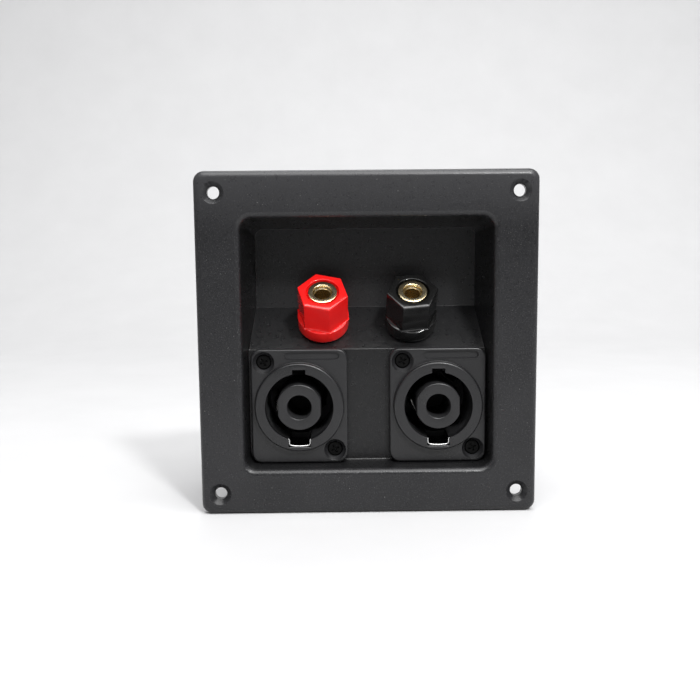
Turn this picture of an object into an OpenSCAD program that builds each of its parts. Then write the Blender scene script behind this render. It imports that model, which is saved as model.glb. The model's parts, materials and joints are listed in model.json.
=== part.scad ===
// Recessed loudspeaker terminal plate: a moulded dish with a square flange, two twist-lock
// speaker sockets on its lower panel and two binding posts on a sloping shelf above them.
// X runs to the right, Y into the cabinet, Z up. The origin is the centre of the four
// fixing holes, on the flange's back face. Millimetres.

/* [Flange] */
// Width of the flange
plate_w = 89.2; // [87:0.1:92]
// Height of the flange
plate_h = 90.4; // [88:0.1:93]
// Thickness of the flange
flange_t = 3; // [2.5:0.1:4]
// Corner radius of the flange
corner_r = 2.6; // [1.5:0.1:4]
// Chamfer round the flange's front edge
edge_chamfer = 1.2; // [0.4:0.1:1.4]
// Fixing holes, centre to centre across
hole_span_w = 79; // [77.5:0.1:79.5]
// Fixing holes, centre to centre in height
hole_span_h = 79.3; // [78:0.1:80]
// Diameter of a fixing hole
hole_d = 3.2; // [2.8:0.1:3.6]
// Diameter of a fixing hole's countersink at the face
countersink_d = 5.8; // [5:0.1:6.4]

/* [Dish] */
// Width of the opening at the face
opening_w = 66; // [65.4:0.1:67]
// Height of the opening at the face
opening_h = 66.7; // [66.5:0.1:67.5]
// Corner radius of the opening
opening_r = 2.1; // [1:0.1:3]
// Thickness of the dish's walls
wall_t = 2.2; // [1.8:0.1:2.6]
// Draft angle of the dish's side walls
side_draft = 6.2; // [4:0.1:7]
// Draft angle of the dish's ceiling
ceiling_draft = 8.2; // [6:0.1:10]
// Draft angle of the dish's floor
floor_draft = 4; // [2:0.1:4.2]
// Depth of the socket panel below the flange's face
panel_depth = 8.9; // [8.5:0.1:10]
// Depth of the back wall below the flange's face
back_depth = 20.3; // [19.5:0.1:22]
// Height of the shelf's front edge
shelf_z = -2.1; // [-2.6:0.05:-1.8]
// Slope of the shelf
shelf_angle = 43; // [41:0.5:45]

/* [Sockets] */
// Distance between the two sockets' axes
socket_pitch = 37.4; // [37:0.1:38]
// How far both sockets sit to the right of the middle
socket_shift = 0.3; // [0:0.05:0.5]
// Height of the sockets' axes
socket_z = -17.2; // [-17.3:0.05:-17.2]
// Width of a socket's flange
socket_w = 26; // [25.5:0.1:26.2]
// Height of a socket's flange
socket_h = 31; // [30.5:0.1:31]
// Thickness of a socket's flange
socket_t = 3; // [2.5:0.1:3.2]
// Diameter of the raised ring
ring_d = 24; // [23.6:0.1:24.2]
// How far the ring stands above the socket's flange
ring_rise = 1.8; // [1:0.1:2]
// Diameter of the plug bore
plug_bore_d = 18.2; // [18:0.1:18.4]
// Diameter of the barrel behind the panel
barrel_d = 23.6; // [23:0.1:23.8]
// Length of the barrel behind the panel
barrel_len = 18; // [16:0.5:20]
// Diameter of the socket's core
core_d = 12.4; // [12:0.1:12.6]
// Width of the core across its two flats
core_flat_w = 11.6; // [11.2:0.1:11.8]
// Diameter of the hole in the core
core_hole_d = 6.5; // [6.2:0.1:6.8]
// Socket screws, centre to centre across
screw_span_w = 19; // [18.8:0.1:19.2]
// Socket screws, centre to centre in height
screw_span_h = 24; // [23.8:0.1:24.2]

/* [Binding posts] */
// Distance between the two posts
post_pitch = 24; // [22:0.5:25]
// How far both posts sit to the right of the middle
post_shift = 0.2; // [0:0.1:0.4]
// Distance of a post's axis from the shelf's front edge, up the slope
post_up = 8.8; // [8.4:0.1:9]
// Diameter of a cap
cap_d = 14; // [13.5:0.1:14.2]
// Width of a cap across its flats
cap_flats = 12.1; // [11.8:0.1:12.3]
// Height of a cap's top above the shelf
cap_top = 13.4; // [13:0.1:13.8]
// Height of the round skirt above the shelf
skirt_top = 4.4; // [4.2:0.1:5.2]
// Turn of the red cap about its axis
red_turn = -14.6; // [-30:0.1:30]
// Turn of the black cap about its axis
black_turn = 6.9; // [-30:0.1:30]
// Bore that takes a 4 mm plug
banana_d = 4; // [4:0.05:4.1]
// Outside diameter of the stud's thread
stud_d = 5.8; // [5.6:0.1:6]

/* [Hidden] */
$fn = 48;

// Dish: places along Y and Z that follow from the sizes above
face_y = -flange_t;
panel_y = face_y + panel_depth;
back_y = face_y + back_depth;
side_taper = tan(side_draft);
ceiling_taper = tan(ceiling_draft);
floor_taper = tan(floor_draft);
shelf_run = back_depth - panel_depth;
shelf_back_z = shelf_z + shelf_run * tan(shelf_angle);
// A small step that carries a cut past the face it opens
past = 1;

// Sockets: heights along the socket's own axis, from the panel's face towards the front
left_x = socket_shift - socket_pitch / 2;
right_x = socket_shift + socket_pitch / 2;
bore_floor = -13.5;
socket_corner_r = 2.7;
core_top = socket_t + ring_rise - 0.2;
top_key_w = 3.5;
top_key_reach = 10.15;
plate_t = 0.3;
latch_w = 5.3;
latch_reach = 10.5;
latch_top = socket_t + ring_rise - 0.5;
latch_floor = -6;
// Screws: small flat heads deep in their sinks
screw_d = 2.2;
screw_hole_d = 2.5;
screw_sink_d = 5.9;
screw_seat_d = 4.5;
screw_seat = 0.6;
screw_head_d = 4.1;
screw_head_t = 0.9;
screw_shaft = 6.2;
boss_d = 6;
boss_len = 4.5;
// Contacts: a bowed spring in front, a flat tab behind
spring_t = 0.4;
spring_w = 2.6;
tab_t = 0.8;
tab_w = 4.8;
tab_end = -27;
inner_r = core_flat_w / 2 + 0.05;
outer_r = plug_bore_d / 2 - 0.1;
tab_x = inner_r + 0.6;
contact_turns = [180, 0, 230, 50];
contact_tips = [1.5, -3, -3, -3];

// Posts: heights along the post's own axis, from the shelf's surface
bush_r = 5.2;
bush_t = 0.8;
spigot_r = 4;
spigot_hole_r = 4.05;
shank_r = 3;
shank_hole_r = 3.05;
collar_r = 5;
collar_top = 1.5;
stud_top = 12.4;
stud_r = stud_d / 2;
stud_mouth = 0.4;
tail_r = 1.95;
tail_hole_r = 2.1;
tail_end = -10.3;
shank_end = -wall_t - bush_t + 0.05;
stack_gap = 0.05;
washer_bottom = collar_top + stack_gap;
washer_top = 2.2;
washer_r = 5.3;
// The washer's hub ends in a bead that snaps into a groove in the sleeve's foot
hub_r = 3.6;
bead_r = 3.78;
hub_top = 3.4;
bead_t = 0.25;
hub_hole_r = hub_r + 0.06;
groove_r = 3.9;
groove_t = 0.5;
sleeve_bottom = 2.25;
sleeve_step = 4;
sleeve_top = 13.3;
sleeve_r = 3.9;
sleeve_foot_r = 5.25;
// The sleeve closes in above the stud to a small conical mouth
mouth_z = 12.5;
mouth_r = 2.3;
mouth_flare = 0.3;
thread_hole_r = stud_r + 0.08;
cap_bottom = 0.15;
cap_foot = 0.6;
cap_recess_r = 5.6;
cap_fit = 0.02;
well_r = 4.45;
well_depth = 1.6;
cross_hole_d = 2.6;
cross_hole_t = 3.4;
rear_face = -wall_t;
tag_top = rear_face - bush_t;
tag_t = 0.5;
lock_t = 0.8;
nut_t = 3.2;
nut_flats = 7;

// ---------------------------------------------------------------- shared helpers

// Slab with round corners, from z = 0 up
module rounded_slab(w, d, r, t) {
    linear_extrude(height = t) {
        square([w - 2 * r, d], center = true);
        square([w, d - 2 * r], center = true);
        for (x = [-1, 1], y = [-1, 1])
            translate([x * (w / 2 - r), y * (d / 2 - r)]) circle(r = r);
    }
}

// Ring or disc between two heights
module ring(r_out, r_in, z0, z1) {
    difference() {
        translate([0, 0, z0]) cylinder(r = r_out, h = z1 - z0);
        translate([0, 0, z0 - past]) cylinder(r = r_in, h = z1 - z0 + 2 * past);
    }
}

// Extrudes a (y, z) outline to both sides along X
module across(width) {
    rotate([90, 0, 90]) linear_extrude(height = width, center = true) children();
}

// Turns local +Z towards the front, with the local origin at (x, y, z)
module facing_front(x, y, z) {
    translate([x, y, z]) rotate([90, 0, 0]) children();
}

// Stands local +Z square on the shelf, at a post's axis
module on_shelf(x) {
    translate([x, panel_y, shelf_z])
        rotate([shelf_angle, 0, 0])
            translate([0, post_up, 0]) children();
}

// ---------------------------------------------------------------- dish

// Flange with its front edges chamfered
module flange() {
    intersection() {
        rotate([90, 0, 0]) rounded_slab(plate_w, plate_h, corner_r, flange_t);
        linear_extrude(height = plate_h + 2, center = true) chamfered_side(plate_w);
        across(plate_w + 2) mirror([1, -1]) chamfered_side(plate_h);
    }
}

// Section of the flange across one of its sides, with the front at face_y
module chamfered_side(w) {
    polygon([
        [-w / 2, 0], [-w / 2, face_y + edge_chamfer], [-w / 2 + edge_chamfer, face_y],
        [w / 2 - edge_chamfer, face_y], [w / 2, face_y + edge_chamfer], [w / 2, 0]
    ]);
}

// Space inside the dish, grown by wall for the outside of its walls
module dish_space(wall, front_y) {
    half_w = opening_w / 2 + wall;
    half_h = opening_h / 2 + wall;
    lead = front_y - face_y;
    deep = back_depth + wall;
    intersection() {
        linear_extrude(height = 2 * plate_h, center = true)
            polygon([
                [-half_w + lead * side_taper, front_y], [half_w - lead * side_taper, front_y],
                [half_w - deep * side_taper, back_y + wall],
                [-half_w + deep * side_taper, back_y + wall]
            ]);
        across(2 * plate_w)
            polygon([
                [front_y, -half_h + lead * floor_taper],
                [panel_y + wall, -half_h + (panel_depth + wall) * floor_taper],
                [panel_y + wall, shelf_z + wall * tan(shelf_angle) - wall / cos(shelf_angle)],
                [back_y + wall, shelf_back_z + wall * tan(shelf_angle) - wall / cos(shelf_angle)],
                [back_y + wall, half_h - deep * ceiling_taper],
                [front_y, half_h - lead * ceiling_taper]
            ]);
    }
}

// Hole for a post's bushes, square to the shelf
module post_hole(x) {
    on_shelf(x) translate([0, 0, -wall_t - past]) cylinder(r = spigot_hole_r, h = wall_t + 2 * past);
}

module recess_plate() {
    color("#242424")
    difference() {
        union() {
            flange();
            dish_space(wall_t, face_y + edge_chamfer);
            for (x = [left_x, right_x], s = [-1, 1])
                facing_front(x + s * screw_span_w / 2, panel_y, socket_z - s * screw_span_h / 2)
                    translate([0, 0, -wall_t - boss_len]) cylinder(d = boss_d, h = boss_len + past);
        }
        intersection() {
            dish_space(0, face_y - past);
            translate([0, back_y + past, 0]) rotate([90, 0, 0])
                rounded_slab(opening_w, opening_h, opening_r, back_depth + 2 * past);
        }
        for (x = [-1, 1], z = [-1, 1])
            facing_front(x * hole_span_w / 2, 0, z * hole_span_h / 2) {
                translate([0, 0, -past]) cylinder(d = hole_d, h = flange_t + 2 * past);
                translate([0, 0, flange_t - (countersink_d - hole_d) / 2])
                    cylinder(d1 = hole_d, d2 = countersink_d, h = (countersink_d - hole_d) / 2);
            }
        for (x = [left_x, right_x]) {
            facing_front(x, panel_y, socket_z)
                translate([0, 0, -wall_t - past]) cylinder(d = barrel_d + 0.4, h = wall_t + 2 * past);
            for (s = [-1, 1])
                facing_front(x + s * screw_span_w / 2, panel_y, socket_z - s * screw_span_h / 2)
                    translate([0, 0, -wall_t - boss_len + past]) cylinder(d = screw_d + 0.1, h = 9);
        }
        for (s = [-1, 1]) post_hole(post_shift + s * post_pitch / 2);
    }
}

// ---------------------------------------------------------------- sockets

// Puts a socket's pieces in place on the panel
module at_socket(x) {
    facing_front(x, panel_y, socket_z) children();
}

// Repeats a piece at the two fixing screws: upper left and lower right
module at_screws() {
    for (s = [-1, 1])
        translate([s * screw_span_w / 2, -s * screw_span_h / 2, 0]) children();
}

module socket_shell(x) {
    slot_l = 14.9;
    slot_h = 2.1;
    slot_x = -socket_w / 2 + 9 + slot_l / 2;
    slot_y = socket_h / 2 - 1.8;
    slot_deep = 0.5;
    color("#2a2a2a")
    at_socket(x)
    difference() {
        union() {
            rounded_slab(socket_w, socket_h, socket_corner_r, socket_t);
            cylinder(d = ring_d, h = socket_t + ring_rise);
            translate([0, 0, -barrel_len]) cylinder(d = barrel_d, h = barrel_len + past);
        }
        translate([0, 0, bore_floor]) cylinder(d = plug_bore_d, h = 30);
        translate([-top_key_w / 2, 0, bore_floor]) cube([top_key_w, top_key_reach, 30]);
        translate([-latch_w / 2 - plate_t, -latch_reach - plate_t, latch_floor])
            cube([latch_w + 2 * plate_t, latch_reach, 30]);
        translate([slot_x, slot_y, socket_t - slot_deep])
            rounded_slab(slot_l, slot_h, slot_h / 2 - 0.01, past);
        at_screws() {
            translate([0, 0, -past]) cylinder(d = screw_hole_d, h = socket_t + 2 * past);
            translate([0, 0, screw_seat])
                cylinder(d1 = screw_seat_d, d2 = screw_sink_d, h = socket_t - screw_seat + 0.01);
        }
        at_contacts() translate([-0.1, -tab_w / 2 - 0.1, -barrel_len - past])
            cube([tab_t + 0.2, tab_w + 0.2, barrel_len + bore_floor + 2 * past]);
    }
}

module socket_core(x) {
    bevel = 0.4;
    color("#303030")
    at_socket(x)
    difference() {
        intersection() {
            translate([0, 0, bore_floor]) cylinder(d = core_d, h = core_top - bore_floor);
            translate([-core_flat_w / 2, -core_d, bore_floor])
                cube([core_flat_w, 2 * core_d, core_top - bore_floor]);
        }
        translate([0, 0, bore_floor + 2]) cylinder(d = core_hole_d, h = 30);
        translate([0, 0, core_top - bevel])
            cylinder(d1 = core_hole_d, d2 = core_hole_d + 2 * bevel, h = bevel);
    }
}

// Thin spring plate that lines the lower keyway and catches a plug's latch
module latch_plate(x) {
    flare = 0.75;
    depth = latch_top - latch_floor - 0.1;
    color("#c8c8c8")
    at_socket(x)
    translate([0, 0, latch_floor + 0.1])
    linear_extrude(height = depth) {
        translate([-latch_w / 2 - plate_t, -latch_reach - plate_t])
            square([latch_w + 2 * plate_t, plate_t]);
        for (s = [0, 1])
            mirror([s, 0]) {
                translate([latch_w / 2, -latch_reach - plate_t])
                    square([plate_t, latch_reach - 8]);
                translate([latch_w / 2, -8.45]) rotate(27) square([flare, plate_t]);
            }
    }
}

// Local +X points out from the core at each contact, with the tab's inner face at x = 0
module at_contacts() {
    for (i = [0:3]) contact_place(i) children();
}

// Contacts 0 and 1 bear on the core's flats, 2 and 3 lie along the bore's wall
module contact_place(i) {
    rotate(contact_turns[i]) translate([tab_x, 0, 0]) children();
}

// Spring of one contact, as an outline in (outwards, along the axis)
module contact(x, i) {
    root = bore_floor - 1;
    inner = i < 2;
    run = inner ? inner_r : outer_r - spring_t;
    bow = inner ? 1.1 : -1;
    foot = bore_floor + 3;
    tip = contact_tips[i];
    crest = (foot + tip) / 2;
    color("#cfcfcf")
    at_socket(x) {
        contact_place(i) translate([0, -tab_w / 2, tab_end]) cube([tab_t, tab_w, root - tab_end]);
        rotate(contact_turns[i])
        rotate([90, 0, 0])
        linear_extrude(height = spring_w, center = true)
            polygon([
                [tab_x, root - 1], [tab_x + tab_t, root - 1], [tab_x + tab_t, bore_floor + 1],
                [run + spring_t, foot], [run + bow + spring_t, crest],
                [run + spring_t, tip], [run, tip],
                [run + bow, crest], [run, foot], [tab_x, bore_floor + 1]
            ]);
    }
}

module socket_screws(x) {
    under_head = screw_seat + 0.02;
    head_top = under_head + screw_head_t;
    cross_w = 0.6;
    cross_l = 2.4;
    cross_deep = 0.6;
    color("#1c1c1c")
    at_socket(x)
    at_screws()
    difference() {
        union() {
            translate([0, 0, under_head]) cylinder(d = screw_head_d, h = screw_head_t);
            translate([0, 0, under_head - screw_shaft])
                cylinder(d = screw_d, h = screw_shaft + screw_head_t / 2);
        }
        for (a = [0, 90])
            rotate(a + 25)
                translate([-cross_w / 2, -cross_l / 2, head_top - cross_deep])
                    cube([cross_w, cross_l, past]);
    }
}

// ---------------------------------------------------------------- binding posts

module stud(x) {
    color("#c9a24a")
    on_shelf(x)
    difference() {
        union() {
            translate([0, 0, tail_end]) cylinder(r = tail_r, h = stud_top - tail_end);
            translate([0, 0, shank_end]) cylinder(r = shank_r, h = bush_t - shank_end + 0.1);
            translate([0, 0, bush_t]) cylinder(r = collar_r, h = collar_top - bush_t);
            cylinder(r = stud_r, h = stud_top);
        }
        translate([0, 0, rear_face]) cylinder(d = banana_d, h = stud_top - rear_face + past);
        translate([0, 0, stud_top - stud_mouth])
            cylinder(d1 = banana_d, d2 = banana_d + 2 * stud_mouth, h = stud_mouth);
        translate([0, 0, cross_hole_t]) rotate([0, 90, 0])
            cylinder(d = cross_hole_d, h = 2 * stud_d, center = true);
    }
}

module front_bush(x, tint) {
    color(tint)
    on_shelf(x) {
        ring(bush_r, shank_hole_r, 0, bush_t);
        ring(spigot_r, shank_hole_r, -wall_t / 2 + stack_gap, 0.2);
    }
}

module rear_bush(x, tint) {
    color(tint)
    on_shelf(x) {
        ring(bush_r, shank_hole_r, rear_face - bush_t, rear_face);
        ring(spigot_r, shank_hole_r, rear_face - 0.2, -wall_t / 2 - stack_gap);
    }
}

module solder_tag(x) {
    tail_w = 2.8;
    tail_l = 11;
    color("#c0b89a")
    on_shelf(x)
    difference() {
        union() {
            translate([0, 0, tag_top - tag_t]) cylinder(r = 3.8, h = tag_t);
            translate([-tail_w / 2, 0, tag_top - tag_t]) cube([tail_w, tail_l, tag_t]);
        }
        translate([0, 0, tag_top - tag_t - past]) cylinder(r = tail_hole_r, h = tag_t + 2 * past);
        translate([0, tail_l - 2, tag_top - tag_t - past]) cylinder(d = 1.4, h = tag_t + 2 * past);
    }
}

module lock_washer(x) {
    top = tag_top - tag_t;
    color("#b0b0b0")
    on_shelf(x)
    difference() {
        ring(3.5, tail_hole_r, top - lock_t, top);
        translate([0, -0.3, top - lock_t - past]) cube([5, 0.6, lock_t + 2 * past]);
    }
}

module hex_nut(x) {
    top = tag_top - tag_t - lock_t;
    color("#b8b8b8")
    on_shelf(x)
    difference() {
        translate([0, 0, top - nut_t]) cylinder(d = nut_flats / cos(30), h = nut_t, $fn = 6);
        translate([0, 0, top - nut_t - past]) cylinder(r = tail_hole_r, h = nut_t + 2 * past);
    }
}

// Washer that swivels on the sleeve's foot, so a bare wire is pressed and not twisted
module clamp_washer(x) {
    color("#c9a24a")
    on_shelf(x) {
        ring(washer_r, thread_hole_r, washer_bottom, washer_top);
        ring(hub_r, thread_hole_r, washer_top - 0.1, hub_top);
        ring(bead_r, thread_hole_r, hub_top - bead_t, hub_top);
    }
}

module cap_sleeve(x) {
    color("#d4af50")
    on_shelf(x)
    difference() {
        union() {
            translate([0, 0, sleeve_bottom])
                cylinder(r = sleeve_foot_r, h = sleeve_step - sleeve_bottom);
            translate([0, 0, sleeve_bottom])
                cylinder(r = sleeve_r, h = sleeve_top - sleeve_bottom);
        }
        translate([0, 0, sleeve_bottom - past])
            cylinder(r = thread_hole_r, h = mouth_z - sleeve_bottom + past);
        translate([0, 0, sleeve_bottom - past])
            cylinder(r = hub_hole_r, h = hub_top - bead_t - sleeve_bottom + past);
        translate([0, 0, hub_top - bead_t - 0.1]) cylinder(r = groove_r, h = groove_t);
        translate([0, 0, mouth_z - 0.01])
            cylinder(r1 = mouth_r, r2 = mouth_r + mouth_flare, h = sleeve_top - mouth_z + 0.02);
    }
}

module cap(x, turn, tint) {
    hex_d = cap_flats / cos(30);
    foot_d = cap_d - 2 * cap_foot;
    hex_bottom = skirt_top - past;
    color(tint)
    on_shelf(x)
    rotate(turn)
    difference() {
        union() {
            translate([0, 0, cap_bottom]) cylinder(d1 = foot_d, d2 = cap_d, h = cap_foot);
            translate([0, 0, cap_bottom + cap_foot])
                cylinder(d = cap_d, h = skirt_top - cap_bottom - cap_foot);
            intersection() {
                translate([0, 0, hex_bottom]) cylinder(d = cap_d, h = cap_top - hex_bottom);
                translate([0, 0, hex_bottom]) cylinder(d = hex_d, h = cap_top - hex_bottom, $fn = 6);
            }
        }
        translate([0, 0, cap_bottom - past])
            cylinder(r = cap_recess_r, h = sleeve_bottom - cap_bottom + past);
        translate([0, 0, sleeve_bottom - past])
            cylinder(r = sleeve_foot_r + cap_fit, h = sleeve_step - sleeve_bottom + past);
        cylinder(r = sleeve_r + cap_fit, h = cap_top);
        translate([0, 0, cap_top - well_depth]) cylinder(r = well_r, h = well_depth + past);
    }
}

red_x = post_shift - post_pitch / 2;
black_x = post_shift + post_pitch / 2;

recess_plate();
socket_shell(left_x);  // left_socket_shell
socket_core(left_x);  // left_socket_core
latch_plate(left_x);  // left_latch_plate
socket_screws(left_x);  // left_socket_screws
contact(left_x, 0);  // left_contact_a
contact(left_x, 1);  // left_contact_b
contact(left_x, 2);  // left_contact_c
contact(left_x, 3);  // left_contact_d
socket_shell(right_x);  // right_socket_shell
socket_core(right_x);  // right_socket_core
latch_plate(right_x);  // right_latch_plate
socket_screws(right_x);  // right_socket_screws
contact(right_x, 0);  // right_contact_a
contact(right_x, 1);  // right_contact_b
contact(right_x, 2);  // right_contact_c
contact(right_x, 3);  // right_contact_d
stud(red_x);  // red_stud
front_bush(red_x, "#8a1515");  // red_front_bush
rear_bush(red_x, "#8a1515");  // red_rear_bush
solder_tag(red_x);  // red_solder_tag
lock_washer(red_x);  // red_lock_washer
hex_nut(red_x);  // red_nut
clamp_washer(red_x);  // red_clamp_washer
cap_sleeve(red_x);  // red_cap_sleeve
cap(red_x, red_turn, "#e01818");  // red_cap
stud(black_x);  // black_stud
front_bush(black_x, "#1a1a1a");  // black_front_bush
rear_bush(black_x, "#1a1a1a");  // black_rear_bush
solder_tag(black_x);  // black_solder_tag
lock_washer(black_x);  // black_lock_washer
hex_nut(black_x);  // black_nut
clamp_washer(black_x);  // black_clamp_washer
cap_sleeve(black_x);  // black_cap_sleeve
cap(black_x, black_turn, "#151515");  // black_cap
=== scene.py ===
# %% [markdown]
# # A recessed loudspeaker terminal plate
# The real thing is a black moulded dish with a square flange. Two twist-lock speaker sockets
# sit on its lower panel, and two binding posts, red and black, stand on a sloping shelf above.
# The CAD model fixes every size and place, so we load it first and never move it.
# Our job is the looks: softer edges, real threads, grain in the plastic and a polish on the brass.

# %% Load the CAD model as the fixed frame
import json
import math
import bmesh
import bpy
from mathutils import Matrix, Vector


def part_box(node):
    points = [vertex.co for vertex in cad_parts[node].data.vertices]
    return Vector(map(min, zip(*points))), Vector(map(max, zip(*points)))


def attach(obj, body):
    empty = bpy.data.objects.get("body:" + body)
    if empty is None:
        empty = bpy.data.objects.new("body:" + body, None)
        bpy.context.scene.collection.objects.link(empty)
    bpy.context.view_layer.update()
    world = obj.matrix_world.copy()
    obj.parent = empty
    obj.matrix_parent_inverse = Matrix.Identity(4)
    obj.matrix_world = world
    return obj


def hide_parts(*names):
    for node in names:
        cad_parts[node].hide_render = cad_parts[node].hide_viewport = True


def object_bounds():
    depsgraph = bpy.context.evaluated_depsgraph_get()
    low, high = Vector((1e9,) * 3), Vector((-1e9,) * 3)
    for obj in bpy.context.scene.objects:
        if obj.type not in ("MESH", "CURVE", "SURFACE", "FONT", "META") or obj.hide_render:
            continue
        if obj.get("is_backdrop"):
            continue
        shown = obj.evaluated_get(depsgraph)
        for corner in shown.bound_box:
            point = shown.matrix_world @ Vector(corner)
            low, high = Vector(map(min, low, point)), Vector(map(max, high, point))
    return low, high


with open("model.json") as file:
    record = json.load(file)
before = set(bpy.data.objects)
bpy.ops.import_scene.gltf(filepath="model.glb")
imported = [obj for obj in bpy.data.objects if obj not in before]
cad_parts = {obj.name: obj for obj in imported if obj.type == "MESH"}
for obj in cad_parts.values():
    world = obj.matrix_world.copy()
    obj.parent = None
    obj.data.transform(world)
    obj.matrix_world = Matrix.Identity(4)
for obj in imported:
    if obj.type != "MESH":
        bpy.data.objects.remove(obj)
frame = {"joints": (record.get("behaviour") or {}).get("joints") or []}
scene = bpy.context.scene
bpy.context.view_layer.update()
MM = 0.001

# %% [markdown]
# ## The camera
# The plate is seen from a little above, about 240 mm away, and almost square on. A lens of about
# 47 mm on a 36 mm sensor gives a mild perspective: the flange looks a little wider at the top.
# We set the camera before the pieces.

# %% Camera
EYE = Vector((-7.07, -237.9, 28.55)) * MM
TURN_RIGHT = 0.582
TILT = -7.223
ROLL = -0.53
LENS = 46.61

camera_data = bpy.data.cameras.new("plate_camera")
camera_data.lens = LENS
camera_data.sensor_width = 36
camera = bpy.data.objects.new("plate_camera", camera_data)
look = Matrix.Rotation(math.radians(-TURN_RIGHT), 4, "Z")
look = look @ Matrix.Rotation(math.radians(90 + TILT), 4, "X")
look = look @ Matrix.Rotation(math.radians(ROLL), 4, "Z")
camera.matrix_world = Matrix.Translation(EYE) @ look
scene.collection.objects.link(camera)
scene.camera = camera
print("camera distance in mm:", round(EYE.length / MM))

# %% [markdown]
# ## Where things are
# The frame tells us where each socket and each post is. A socket gets a local frame whose Z
# points at the viewer and starts on the panel. A post gets one whose Z is the screw's own axis.
# We can then write every piece in plain millimetres, as on a turner's drawing.

# %% Local frames of the sockets and the posts
RING_TOP = 4.8


def socket_frame(side):
    """Local frame of a socket in mm: X right, Y up, Z towards the front, zero on the panel."""
    low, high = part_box(side + "_socket_shell")
    origin = Vector(((low.x + high.x) / 2, low.y + RING_TOP * MM, (low.z + high.z) / 2))
    return Matrix.Translation(origin) @ Matrix.Rotation(math.pi / 2, 4, "X") @ Matrix.Scale(MM, 4)


def post_frame(colour):
    """Local frame of a binding post in mm: Z along the screw's axis, zero on the shelf."""
    joint = next(j for j in frame["joints"] if j["name"] == colour + "_cap_turn")
    axis = Vector(joint["axis"])
    lean = math.atan2(-axis.y, axis.z)
    turn = Matrix.Rotation(lean, 4, "X")
    return Matrix.Translation(Vector(joint["pos_m"])) @ turn @ Matrix.Scale(MM, 4)


SIDES = {side: socket_frame(side) for side in ("left", "right")}
POSTS = {colour: post_frame(colour) for colour in ("red", "black")}
for name, place in {**SIDES, **POSTS}.items():
    print(name, [round(v / MM, 2) for v in place.translation])

# %% [markdown]
# ## Skinning rings
# Nearly every piece here is turned or moulded about one axis. Instead of stacking primitives we
# draw the outline at several heights and skin the rings with quads, the way a lofted part is
# made. An outline is a function that gives the radius at an angle, so a hexagon, a rounded
# square or a bore with keyways are all skinned by the same few lines. The inset lets an outline
# shrink evenly, which is how the rounded edges are made.

# %% Outlines
def disc(radius):
    return lambda angle, inset=0: radius - inset


def rounded_square(width, height, corner):
    def outline(angle, inset=0):
        w = width / 2 - inset
        h = height / 2 - inset
        c = max(corner - inset, 0.01)
        dx = abs(math.cos(angle))
        dy = abs(math.sin(angle))
        if dx * (h - c) >= w * dy:
            return w / dx
        if dy * (w - c) >= h * dx:
            return h / dy
        along = dx * (w - c) + dy * (h - c)
        return along + math.sqrt(along**2 - (w - c) ** 2 - (h - c) ** 2 + c**2)

    return outline


def hexagon(flats, corner):
    def outline(angle, inset=0):
        flat = flats / 2 - inset
        c = max(corner - inset, 0.01)
        away = abs((angle + math.pi / 6) % (math.pi / 3) - math.pi / 6)
        peak = (flat - c) / math.cos(math.pi / 6)
        if away < math.atan2(c / 2, peak + c * math.cos(math.pi / 6)):
            return peak * math.cos(away) + math.sqrt(c**2 - (peak * math.sin(away)) ** 2)
        return flat / math.cos(math.pi / 6 - away)

    return outline


def keyed(radius, keys):
    """A circle with square-ended keys, each given as (direction, half width, reach)."""

    def outline(angle, inset=0):
        r = radius - inset
        for direction, half, reach in keys:
            off = (angle - direction + math.pi) % (2 * math.pi) - math.pi
            if abs(off) < math.pi / 2:
                side = (half - inset) / max(abs(math.sin(off)), 1e-9)
                r = max(r, min((reach - inset) / math.cos(off), side))
        return r

    return outline


def bearings(count, extra=()):
    """Angles round a piece: evenly spaced ones, and extra ones where an outline has a corner."""
    wrapped = [a % (2 * math.pi) for a in extra]
    return sorted({round(a, 6) for a in [2 * math.pi * i / count for i in range(count)] + wrapped})


def key_bearings(radius, keys):
    """The angles at which a key's sides meet the circle and its own end."""
    found = []
    for direction, half, reach in keys:
        for bend in (math.asin(half / radius), math.atan2(half, reach)):
            found += [direction - bend, direction + bend]
    return found


HEX_CORNERS = [math.radians(60 * k + d) for k in range(6) for d in (-1.3, -0.6, 0, 0.6, 1.3)]
print("outlines ready; a hexagon uses", len(bearings(144, HEX_CORNERS)), "angles")


# %% [markdown]
# ### From rings to a mesh
# A ring is one outline at one height. The skin joins neighbouring rings with quads and closes the
# two ends, or joins the last ring to the first for a piece with a hole through it. Points that
# fall together, where two outlines share a corner, are merged afterwards, so that no sliver of a
# face is left to catch the light.

# %% Rings into a mesh
def ring_at(outline, inset, height, angles):
    ring = []
    for a in angles:
        r = outline(a, inset)
        ring.append((r * math.cos(a), r * math.sin(a), height))
    return ring


def skin(name, rings, ends="closed"):
    """Skins rings of equal count. ends is closed, or joined for a piece with a hole through it."""
    count = len(rings[0])
    faces = []
    for level in range(len(rings) if ends == "joined" else len(rings) - 1):
        low = level * count
        high = (level + 1) % len(rings) * count
        for i in range(count):
            j = (i + 1) % count
            faces.append((low + i, low + j, high + j, high + i))
    if ends == "closed":
        faces.append(tuple(range(count)))
        faces.append(tuple(range((len(rings) - 1) * count, len(rings) * count)))
    mesh = bpy.data.meshes.new(name)
    mesh.from_pydata([p for ring in rings for p in ring], [], faces)
    tidy(mesh)
    piece = bpy.data.objects.new(name, mesh)
    scene.collection.objects.link(piece)
    return piece


def tidy(mesh, gap=1e-4):
    """Merges points that coincide and turns every face outwards."""
    work = bmesh.new()
    work.from_mesh(mesh)
    bmesh.ops.remove_doubles(work, verts=work.verts, dist=gap)
    bmesh.ops.dissolve_degenerate(work, edges=work.edges, dist=gap)
    bmesh.ops.recalc_face_normals(work, faces=work.faces)
    work.to_mesh(mesh)
    work.free()


print("rings can now be skinned")

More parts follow.
